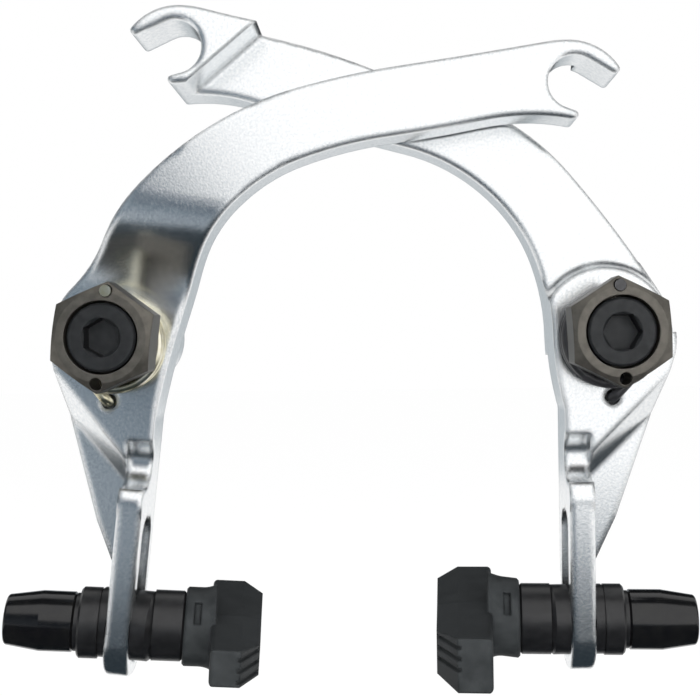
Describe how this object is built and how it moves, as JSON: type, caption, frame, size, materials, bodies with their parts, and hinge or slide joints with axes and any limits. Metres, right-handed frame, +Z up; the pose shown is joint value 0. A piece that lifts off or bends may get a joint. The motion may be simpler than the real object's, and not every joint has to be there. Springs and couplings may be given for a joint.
{
  "type": "bicycle u-brake",
  "caption": "U-brake for a stunt bicycle: crossing forged arms with cable hooks, torsion springs with hex tension adjusters, and pads clamped in slotted legs.",
  "frame": {"origin": "midway between the two pivot axes, on the plane of the machined front faces of the bosses", "axes": "+X to the right seen from the front, +Y to the back along the pivot bolts, +Z up"},
  "size_m": [0.1286, 0.0517, 0.1231],
  "materials": {
    "polished_aluminium": "polished",
    "bronze_bush": "satin",
    "bronze_anodised": "satin",
    "black_oxide_steel": "satin",
    "gloss_black": "gloss",
    "satin_black": "satin",
    "pad_rubber": "matte",
    "yellow_zinc_wire": "satin",
    "black_spring_wire": "satin"
  },
  "bodies": {
    "mounting_bolts": {"left_pivot_bolt": "black_oxide_steel", "right_pivot_bolt": "black_oxide_steel"},
    "left_adjuster": {"left_tension_adjuster": "bronze_anodised", "left_return_spring": "yellow_zinc_wire"},
    "left_arm": {"left_arm": "polished_aluminium", "left_pivot_bushing": "bronze_bush"},
    "left_domes": {"left_inner_dome": "satin_black", "left_outer_dome": "satin_black"},
    "left_clamp": {"left_inner_cup": "satin_black", "left_outer_cup": "satin_black", "left_flat_washer": "satin_black", "left_cap_nut": "gloss_black"},
    "left_pad": {"left_brake_pad": "pad_rubber", "left_pad_stud": "black_oxide_steel"},
    "right_adjuster": {"right_tension_adjuster": "bronze_anodised", "right_return_spring": "black_spring_wire"},
    "right_arm": {"right_arm": "polished_aluminium", "right_pivot_bushing": "bronze_bush"},
    "right_domes": {"right_inner_dome": "satin_black", "right_outer_dome": "satin_black"},
    "right_clamp": {"right_inner_cup": "satin_black", "right_outer_cup": "satin_black", "right_flat_washer": "satin_black", "right_cap_nut": "gloss_black"},
    "right_pad": {"right_brake_pad": "pad_rubber", "right_pad_stud": "black_oxide_steel"}
  },
  "joints": [
    {"name": "left_spring_tension", "type": "hinge", "parent": "mounting_bolts", "child": "left_adjuster", "pos_m": [-0.045, 0, 0], "axis": [0, -1, 0], "range_deg": [-4, 4], "deforming": ["left_return_spring"]},
    {"name": "left_arm_swing", "type": "hinge", "parent": "left_adjuster", "child": "left_arm", "pos_m": [-0.045, 0, 0], "axis": [0, -1, 0], "range_deg": [0, 9], "stiffness_Nm_per_rad": 1.2, "deforming": ["left_return_spring"]},
    {"name": "left_pad_height", "type": "slide", "parent": "left_arm", "child": "left_domes", "axis": [0.1097, 0, 0.994], "range_m": [-0.003, 0.0004]},
    {"name": "left_pad_toe", "type": "hinge", "parent": "left_domes", "child": "left_clamp", "pos_m": [-0.04537, 0.0025, -0.05348], "axis": [0.1097, 0, 0.994], "range_deg": [-8, 2]},
    {"name": "left_pad_turn", "type": "hinge", "parent": "left_clamp", "child": "left_pad", "pos_m": [-0.04537, 0.0025, -0.05348], "axis": [0.9851, 0.1478, -0.0877], "range_deg": [-20, 20]},
    {"name": "right_spring_tension", "type": "hinge", "parent": "mounting_bolts", "child": "right_adjuster", "pos_m": [0.045, 0, 0], "axis": [0, 1, 0], "range_deg": [-4, 4], "deforming": ["right_return_spring"]},
    {"name": "right_arm_swing", "type": "hinge", "parent": "right_adjuster", "child": "right_arm", "pos_m": [0.045, 0, 0], "axis": [0, 1, 0], "range_deg": [0, 9], "stiffness_Nm_per_rad": 1.2, "deforming": ["right_return_spring"]},
    {"name": "right_pad_height", "type": "slide", "parent": "right_arm", "child": "right_domes", "axis": [-0.0035, 0, 1], "range_m": [-0.003, 0.0004]},
    {"name": "right_pad_toe", "type": "hinge", "parent": "right_domes", "child": "right_clamp", "pos_m": [0.03969, 0.0025, -0.05352], "axis": [0.0035, 0, -1], "range_deg": [-8, 2]},
    {"name": "right_pad_turn", "type": "hinge", "parent": "right_clamp", "child": "right_pad", "pos_m": [0.03969, 0.0025, -0.05352], "axis": [-0.9959, 0.0906, -0.0035], "range_deg": [-20, 20]}
  ]
}
